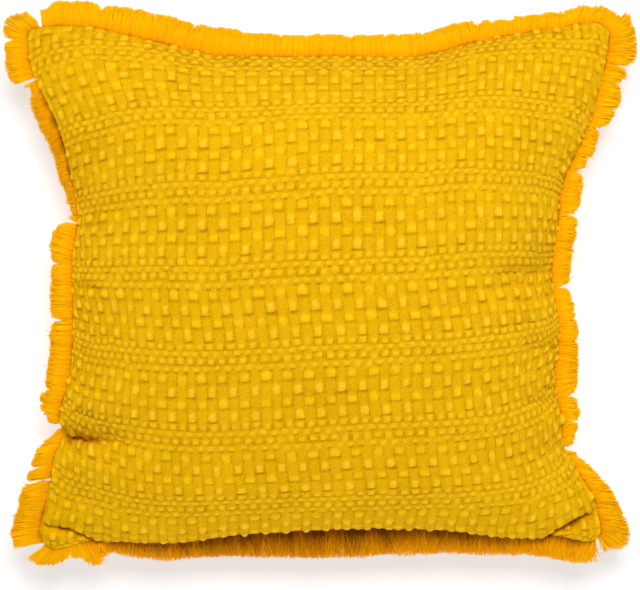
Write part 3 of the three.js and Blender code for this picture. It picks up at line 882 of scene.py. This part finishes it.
def cloth_finish():
    """Matt cotton: tone with its painted light and shade, and paleness set the colour, and two
    sets of fine ribs, up and across, are mixed by the way the threads of each block run. The
    ribs bump the surface and darken the colour a little in their troughs, as painted shade."""
    material, tree, shader = new_material("cover cloth")
    link, maths = tree.links.new, maths_in(tree)
    place = node(tree, "ShaderNodeTexCoord").outputs["Object"]
    fuzz = node(tree, "ShaderNodeTexNoise", Scale=520.0, Detail=3.0, Roughness=0.65)
    broad = node(tree, "ShaderNodeTexNoise", Scale=30.0, Detail=2.0)
    link(place, fuzz.inputs["Vector"])
    link(place, broad.inputs["Vector"])
    wobble = maths("MULTIPLY", fuzz.outputs["Fac"], THREAD_WOBBLE)
    turns = 2 * math.pi / THREAD_PITCH
    ribs_up, ribs_across = (
        maths("SINE", maths("ADD", maths("MULTIPLY", number_of(tree, name), turns), wobble))
        for name in ("across", "up")
    )
    way = number_of(tree, "thread_way")
    other_way = maths("SUBTRACT", 1.0, way)
    ribs = maths("ADD", maths("MULTIPLY", ribs_across, way), maths("MULTIPLY", ribs_up, other_way))
    pale = number_of(tree, "pale")
    roughened = maths("ADD", maths("MULTIPLY", pale, 0.5), 0.65)
    spread = maths("MULTIPLY", maths("SUBTRACT", fuzz.outputs["Fac"], 0.5), roughened)
    drift = maths("MULTIPLY", maths("SUBTRACT", broad.outputs["Fac"], 0.5), 0.2)
    shade = maths("ADD", number_of(tree, "tone_and_painted_light"), maths("ADD", spread, drift))
    shade = maths("ADD", shade, maths("MULTIPLY", ribs, THREAD_SHADE))
    ramp = node(tree, "ShaderNodeValToRGB")
    ramp.color_ramp.elements[0].color = CLOTH_DEEP_SHADE
    ramp.color_ramp.elements[1].color = CLOTH_LIGHT
    ramp.color_ramp.elements.new(0.42).color = CLOTH_MIDDLE
    link(shade, ramp.inputs["Fac"])
    paler = tree.nodes.new("ShaderNodeMix")
    paler.data_type = "RGBA"
    link(maths("MULTIPLY", pale, PALE_SHARE), paler.inputs["Factor"])
    link(ramp.outputs["Color"], paler.inputs[MIX_FIRST])
    paler.inputs[MIX_SECOND].default_value = CLOTH_PALE
    link(paler.outputs[MIX_RESULT], shader.inputs["Base Color"])
    bump = node(tree, "ShaderNodeBump", Strength=0.6, Distance=0.0005)
    link(maths("ADD", maths("MULTIPLY", ribs, 0.5), fuzz.outputs["Fac"]), bump.inputs["Height"])
    link(bump.outputs["Normal"], shader.inputs["Normal"])
    set_inputs(shader, {"Roughness": 1.0, "Specular IOR Level": 0.03, "Sheen Weight": 0.03,
                        "Sheen Roughness": 0.6, "Sheen Tint": SHEEN_TINT})
    return material


cover.data.materials.append(cloth_finish())
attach(cover, "root")
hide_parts("cushion_body")
print("cover finished")

# %% [markdown]
# A brush fringe is thousands of soft threads, cut to one length and caught in the seam.
# Hair particles would not leave the studio with the model, so each thread is a thin tube
# of three sides that narrows to its tip. All the threads of a side are worked out at once,
# as arrays, and joined in one mesh.

# %% How the fringe lies
THREAD_LENGTH = 21.5
# Along each side: how much longer the threads are, in millimetres, how far they slant, in
# degrees, and how far their tips droop, in millimetres
FRINGE_LIE = {
    "top": {
        "along": (-1, -0.97, -0.94, -0.9, -0.75, -0.5, -0.36, -0.2, 0.3, 0.5, 0.62, 0.75, 0.92, 1),
        "longer": (1, -2, -5, -1, 0, 3, 2, -2, -2.5, -1, -7, -6, -5.5, -6),
        "slant": (-62, -46, -2, -1, 2, 4, 3, 2, -3, 0, 3, 12, 28, 76),
        "droop": (2, 2, 2, 2, 2, 0, 0, 3, 3, 2, 1, 1, 1, 2),
    },
    "bottom": {
        "along": (-1, -0.93, -0.88, -0.82, -0.75, -0.62, -0.4, 0, 0.3, 0.85, 0.95, 1),
        "longer": (1, -4, -7, 4, -6, 5, 5, 8, 6, 0, -1, -4),
        "slant": (-60, -36, -8, 2, 0, 2, 2, -2, 2, 3, 3, 3),
        "droop": (4, 5, 6, 6, 8, 9, 10, 10, 9, 7, 4, 3),
    },
    "left": {
        "along": (-1, -0.8, -0.7, -0.6, -0.55, -0.45, 0.05, 0.22, 0.28, 0.38, 0.58, 0.7, 0.79,
                  0.803, 0.83, 0.9, 0.96, 1),
        "longer": (5, 2, 1, -3, -9, -3, -2, -3, -14, -11, -8, -4, -11, -2, -1, -1, 1, 1),
        "slant": (-24, -12, -26, -34, -10, -5, 3, 8, 2, -4, -12, -14, -10, 6, 4, 2, 12, 44),
        "droop": (3, 3, 4, 6, 8, 2, 3, 5, 12, 12, 11, 10, 8, 3, 2, 2, 1, 1),
    },
    "right": {
        "along": (-1, -0.98, -0.955, -0.92, -0.8, -0.7, -0.65, -0.6, -0.5, -0.4, -0.2, -0.1, 0.04,
                  0.3, 0.42, 0.5, 0.56, 0.62, 0.7, 0.8, 0.9, 1),
        "longer": (-11, -3, 5, 4, -3, -7, -12, -9, -5, -1, -3, -5, -4,
                   -4, -4, -8, -7, -6, 1, -2, 5, 0),
        "slant": (-88, -64, -40, -27, -32, -40, -20, 6, -8, 0, 4, 0, -6,
                  6, 6, 6, 6, 2, 0, 0, 4, 48),
        "droop": (3, 3, 3, 2, 3, 4, 5, 4, 5, 4, 3, 5, 6, 3, 4, 6, 6, 4, 3, 2, 1, 1),
    },
}
# How matted a length is along its side, and how much painted shade deepens its colour: the
# bottom one where the cushion stood on it and the bulge shades it, and the left one where it
# is turned under and in shade
MATTED_AND_SHADED = {
    "bottom": {"along": (-1, -0.84, -0.74, 0.7, 1), "share": (0, 0.1, 1, 1, 0.5)},
    "left": {"along": (-1, 0.3, 0.4, 0.72, 0.8, 1), "share": (0, 0, 0.55, 0.6, 0, 0)},
}
STRAY_THREADS = 0.005
OUTWARD = {"top": (0, 1), "bottom": (0, -1), "left": (-1, 0), "right": (1, 0)}
# Where each length of fringe starts and ends along its side
FRINGE_ENDS = {
    "top": (-0.998, 0.998),
    "bottom": (-0.99, 0.99),
    "left": (-0.998, 0.998),
    "right": (-0.99, 0.998),
}
# Places where the threads part: where, how wide, how far they lean away, in degrees, and
# how much of their length parts, from the tip. At 1 the roots stand apart too.
PARTINGS = {
    "top": ((-0.955, 0.012, 8, 1), (-0.757, 0.008, 12, 0.25), (-0.45, 0.006, 6, 0.3),
            (0.1, 0.006, 6, 0.3), (0.56, 0.006, 8, 0.4), (0.834, 0.01, 12, 0.3)),
    "bottom": ((-0.895, 0.012, 14, 0.7), (-0.785, 0.01, 8, 0.4), (-0.6, 0.01, 6, 0.4),
               (0.45, 0.008, 6, 0.4)),
    "left": ((-0.737, 0.01, 18, 1), (-0.675, 0.007, 16, 0.8), (-0.53, 0.022, 22, 1),
             (-0.4, 0.006, 10, 0.5), (-0.12, 0.007, 14, 0.8), (0.09, 0.006, 12, 0.6),
             (0.25, 0.012, 16, 1), (0.68, 0.006, 12, 0.6), (0.803, 0.009, 3, 1),
             (0.955, 0.008, 18, 0.8)),
    "right": ((-0.64, 0.018, 14, 1), (-0.53, 0.007, 14, 0.6), (-0.44, 0.012, 18, 0.7),
              (-0.21, 0.006, 8, 0.5), (-0.14, 0.006, 8, 0.4), (-0.012, 0.012, 20, 0.8),
              (0.275, 0.009, 14, 0.7), (0.455, 0.014, 20, 0.85), (0.615, 0.014, 14, 0.8),
              (0.695, 0.008, 10, 0.6), (0.795, 0.007, 10, 0.7), (0.855, 0.011, 12, 0.8)),
}
NOTCH_DEPTH = 2.5
THREADS_ALONG = 1250
THREAD_LAYERS = 6
THREAD_STEPS = 4
THREAD_RADIUS = 0.45
THREAD_TAPER = 0.55
ROOT_SCATTER = 0.0016
LAYER_GAP = 0.9
# Tufts and the wisps in them, for each half of a side
TUFTS = 44
WISPS = 190
print("threads a side", THREADS_ALONG * THREAD_LAYERS)


# %% The threads of one side
def fringe_paths(side, random):
    """The middle line of each thread: it starts in the seam and runs outward, leaned and
    drooped by the side's table, with its own small bend and its tuft's lean and length."""
    lie = FRINGE_LIE[side]
    count = THREADS_ALONG * THREAD_LAYERS
    first, last = FRINGE_ENDS[side]
    even = np.linspace(first, last, THREADS_ALONG).repeat(THREAD_LAYERS)
    along = np.clip(even + random.normal(0, ROOT_SCATTER, count), first, last)
    layer = np.tile(np.linspace(-1, 1, THREAD_LAYERS), THREADS_ALONG)
    for place, width, _, depth in PARTINGS[side]:
        away = (along - place) / width
        apart = (depth > 0.99) * 0.6 * width * np.sign(away) * np.exp(-np.abs(away))
        along = np.clip(along + apart, first, last)
    root = side_point(side, along)
    straight = np.clip(along, -0.9, 0.9)
    tangent = side_point(side, straight + 0.02) - side_point(side, straight - 0.02)
    tangent[:, 2] = 0
    tangent /= np.linalg.norm(tangent, axis=1, keepdims=True)
    out = np.stack((-tangent[:, 1], tangent[:, 0], np.zeros(count)), 1)
    out *= np.sign(out[:, :2] @ np.array(OUTWARD[side]))[:, None]
    tuft = np.floor((even + 1) * TUFTS + 0.9 * np.sin(even * 37) + 0.5 * np.sin(even * 91))
    wisp = np.floor((even + 1) * WISPS + 0.8 * layer)
    tuft_lean, tuft_long, tuft_droop = (scatter(tuft, k, len(side)) for k in range(3))
    wisp_lean, wisp_long = (scatter(wisp, k, len(side) + 5) for k in range(2))
    share = np.linspace(0, 1, THREAD_STEPS)[None, :, None]
    parted = np.zeros((count, THREAD_STEPS, 1))
    notched = np.zeros(count)
    for place, width, lean, depth in PARTINGS[side]:
        away = (along - place) / width
        notched += NOTCH_DEPTH * np.exp(-((away / 2.5) ** 2))
        leaning = np.radians(lean) * np.sign(away) * np.exp(-np.abs(away) / 2.2)
        opened = np.clip((share - 1 + depth) / depth, 0, 1)
        parted += leaning[:, None, None] * opened * (0.4 + 0.6 * depth)
    # How matted the threads are: they cross and are evener, and their colour stays deep as painted
    # shade.
    matted_and_shaded = read_table(MATTED_AND_SHADED[side], "share", along) if side in MATTED_AND_SHADED else np.zeros(count)
    stray = random.uniform(0, 1, count) < STRAY_THREADS
    length = THREAD_LENGTH + read_table(lie, "longer", along) + 1.2 * tuft_long + 0.8 * wisp_long
    uneven = np.abs(random.normal(0, 1.1, count)) * (1 - 0.4 * matted_and_shaded)
    length = length - notched - uneven + stray * random.uniform(2, 5, count) * (1 - matted_and_shaded)
    slant = read_table(lie, "slant", along) + 2 * tuft_lean + 2 * wisp_lean
    crossing = random.normal(0, 1, count) * (4 + 16 * matted_and_shaded)
    slant = np.radians(slant + crossing + stray * random.normal(0, 12, count))
    droop = read_table(lie, "droop", along) + 1.2 * tuft_droop + random.normal(0, 0.7, count)
    droop -= 2.4 * layer
    reach = length[:, None, None] * share
    sway = random.normal(0, 0.5, count)[:, None, None] * np.sin(share * np.pi * 1.3)
    sideways = reach * (np.sin(slant)[:, None, None] * share**0.3 + parted) + sway
    path = root[:, None, :] + out[:, None, :] * reach * np.cos(slant)[:, None, None]
    path = path + tangent[:, None, :] * sideways
    path[..., 2] += -0.8 + layer[:, None] * LAYER_GAP - droop[:, None] * share[..., 0] ** 1.5
    # How deep each point's painted shade is: deepest at the root, by the seam, and kept deep where
    # the threads are matted.
    shade_from, shade_span = 0.1 * (1 - matted_and_shaded), 0.9 - 0.6 * matted_and_shaded
    return path, shade_from[:, None] + shade_span[:, None] * share[..., 0]


def tubes(paths, radii, rolls):
    """Tubes of three sides along many paths: at each step of each path a small triangle
    across it, with a flat side up but for its roll, joined to the next."""
    count, steps, _ = paths.shape
    way = np.gradient(paths, axis=1)
    way /= np.maximum(np.linalg.norm(way, axis=2, keepdims=True), 1e-9)
    up = np.broadcast_to(np.array((0.0, 0.0, 1.0)), way.shape)
    first = np.cross(way, up)
    first /= np.maximum(np.linalg.norm(first, axis=2, keepdims=True), 1e-9)
    second = np.cross(way, first)
    turn = ((np.arange(3) * 2 / 3 + 0.5) * np.pi + rolls[:, None, None])[..., None]
    ring = first[:, :, None, :] * np.cos(turn) + second[:, :, None, :] * np.sin(turn)
    points = paths[:, :, None, :] + ring * radii[:, :, None, None]
    index = np.arange(count * steps * 3).reshape(count, steps, 3)
    near, far = index[:, :-1, :], index[:, 1:, :]
    near_next, far_next = np.roll(near, -1, axis=2), np.roll(far, -1, axis=2)
    walls = np.stack((near, near_next, far_next, far), -1).reshape(-1, 4).tolist()
    caps = index[:, 0, ::-1].tolist() + index[:, -1, :].tolist()
    return points.reshape(-1, 3), walls + caps


# %% The four fringes
def make_fringe(side, seed):
    """One length of fringe as one mesh, with numbers for its finish: how deep its painted shade
    is at each point, deepest at the root and kept deep where it is matted, and the thread's own
    tint."""
    random = np.random.default_rng(seed)
    paths, painted_shade_along = fringe_paths(side, random)
    count, steps, _ = paths.shape
    taper = 1 - THREAD_TAPER * np.linspace(0, 1, steps) ** 2
    radii = THREAD_RADIUS * random.uniform(0.8, 1.2, count)[:, None] * taper[None, :]
    points, faces = tubes(paths, radii, random.normal(0, 0.45, count))
    piece = add_piece("fringe_threads_" + side, points, faces)
    piece.data.shade_flat()
    patch = bumps(np.arange(count) / THREAD_LAYERS, np.zeros(count), 24, seed)
    tint = 0.5 + 0.3 * patch + random.uniform(-0.3, 0.3, count)
    for name, values in (("painted_shade_from_root", painted_shade_along[..., None]), ("tint", tint[:, None, None])):
        add_number(piece.data, name, np.broadcast_to(values, (count, steps, 3)))
    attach(piece, "root")
    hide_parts("fringe_" + side)
    return piece


fringes = [make_fringe(side, seed) for seed, side in enumerate(SIDES, start=11)]
print("fringe faces", [len(piece.data.polygons) for piece in fringes])

# %% [markdown]
# The fringe's thread is the same cotton, brushed, so it takes the light warmer and softer
# than the cloth. Each thread has its own tint, and its root is painted deeper than its tip:
# painted shade where the seam shadows it. The bottom length is the one that the cushion stood
# on, under the bulge, and part of the left one is turned under: they are matted, and their
# numbers stay at the deep end of the same colours, which is painted shade.

# %% The fringe's finish
# The ramp's colours: painted shadow in the seam, painted shade deeper in and at the root, and the
# thread's own colour at the tip
FRINGE_SEAM_SHADOW = (0.22, 0.06, 0.0002, 1)
FRINGE_DEEP_SHADE = (0.5, 0.17, 0.0003, 1)
FRINGE_ROOT_SHADE = (0.9, 0.38, 0.0006, 1)
FRINGE_TIP = (1.0, 0.53, 0.001, 1)


def fringe_finish():
    """Soft cotton thread: a ramp of painted shade from seam to tip, shifted by each thread's tint.
    """
    material, tree, shader = new_material("fringe thread")
    link, maths = tree.links.new, maths_in(tree)
    tint = maths("MULTIPLY", maths("SUBTRACT", number_of(tree, "tint"), 0.5), 0.16)
    shade = maths("ADD", number_of(tree, "painted_shade_from_root"), tint)
    ramp = node(tree, "ShaderNodeValToRGB")
    ramp.color_ramp.elements[0].color = FRINGE_SEAM_SHADOW
    ramp.color_ramp.elements[1].color = FRINGE_TIP
    ramp.color_ramp.elements[1].position = 0.62
    ramp.color_ramp.elements.new(0.07).color = FRINGE_DEEP_SHADE
    ramp.color_ramp.elements.new(0.2).color = FRINGE_ROOT_SHADE
    link(shade, ramp.inputs["Fac"])
    link(ramp.outputs["Color"], shader.inputs["Base Color"])
    set_inputs(shader, {"Roughness": 0.9, "Specular IOR Level": 0.03, "Sheen Weight": 0.1,
                        "Sheen Tint": SHEEN_TINT})
    return material


fringe_thread = fringe_finish()
for piece in fringes:
    piece.data.materials.append(fringe_thread)
print("fringes finished")

# %% [markdown]
# The studio is a plain pale floor, wide soft lamps and a long lens, as for a shop's
# picture. The camera leans a few degrees towards the top edge, so that the lower bulge
# hides the bottom seam as it does in the photograph.

# %% The camera
VIEW_TILT = math.radians(5)
VIEW_DISTANCE = 2.5
SENSOR_WIDTH = 36
PIXELS_ACROSS, PIXELS_UP = 640, 590
PIXELS_A_MM = 1.18
PHOTO_MIDDLE_Y = 289
SEAM_HEIGHT = 0.078

below_middle = (PIXELS_UP / 2 - PHOTO_MIDDLE_Y) / PIXELS_A_MM
aim = Vector((frame_shift[0] * MM, (frame_shift[1] - below_middle) * MM, SEAM_HEIGHT))
camera_data = bpy.data.cameras.new("camera")
camera_data.sensor_width = SENSOR_WIDTH
camera_data.lens = SENSOR_WIDTH * VIEW_DISTANCE / (PIXELS_ACROSS / PIXELS_A_MM * MM)
camera = add_object("camera", camera_data)
camera.location = aim + VIEW_DISTANCE * Vector((0, math.sin(VIEW_TILT), math.cos(VIEW_TILT)))
camera.rotation_euler = (-VIEW_TILT, 0, 0)
bpy.context.scene.camera = camera
print("lens", round(camera_data.lens, 1), "mm at", VIEW_DISTANCE, "m")


# %% The floor
FLOOR_HALF = 6.0
FLOOR_HEIGHT = -0.0004


def make_floor():
    """A wide plain square just under the cushion, white, with a little light of its own so
    that it stays white beside the cushion, as paper does under strong lamps."""
    ways = ((-1, -1), (1, -1), (1, 1), (-1, 1))
    corners = [(x * FLOOR_HALF, y * FLOOR_HALF, FLOOR_HEIGHT) for x, y in ways]
    floor = add_mesh("floor", corners, [(0, 1, 2, 3)])
    material, _, shader = new_material("floor paper")
    set_inputs(shader, {"Base Color": (0.52, 0.51, 0.515, 1), "Roughness": 0.9,
                        "Emission Color": (1, 1, 1, 1), "Emission Strength": 0.585})
    floor.data.materials.append(material)
    floor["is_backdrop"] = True


make_floor()
print("floor laid")


# %% The lamps
LIT_HEIGHT = 0.08


def add_lamp(name, place, size, power):
    """A soft lamp at a place, turned towards the cushion, with its size across and up."""
    data = bpy.data.lights.new(name, "AREA")
    data.shape = "RECTANGLE"
    data.size, data.size_y = size
    data.energy = power
    lamp = add_object(name, data)
    lamp.location = place
    towards = Vector((0, 0, LIT_HEIGHT)) - Vector(place)
    lamp.rotation_euler = towards.to_track_quat("-Z", "Y").to_euler()


add_lamp("key", (0.1, 0.95, 2.4), (0.9, 0.8), 58.5)
add_lamp("low front", (0.1, -1.9, 0.22), (2.4, 0.2), 18.5)
add_lamp("low right", (1.9, 0.1, 0.42), (2.0, 0.3), 8.5)
add_lamp("low left", (-1.9, 0.1, 0.42), (2.0, 0.3), 8.5)
world = bpy.data.worlds.new("studio")
world.use_nodes = True
set_inputs(world.node_tree.nodes["Background"], {"Color": (1, 1, 1, 1), "Strength": 0.15})
bpy.context.scene.world = world
bpy.context.scene.view_settings.view_transform = "Standard"
print("lamps lit")

# %% [markdown]
# Last, the sizes of the solids and of the finished model are written side by side.

# %% Sizes and the end
def plain(box):
    """A box as plain lists of numbers."""
    return [[float(v) for v in corner] for corner in box]


bpy.context.view_layer.update()
{"cad": plain(cad_box), "scene": plain(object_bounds())}
print("sizes", plain(cad_box), plain(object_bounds()))
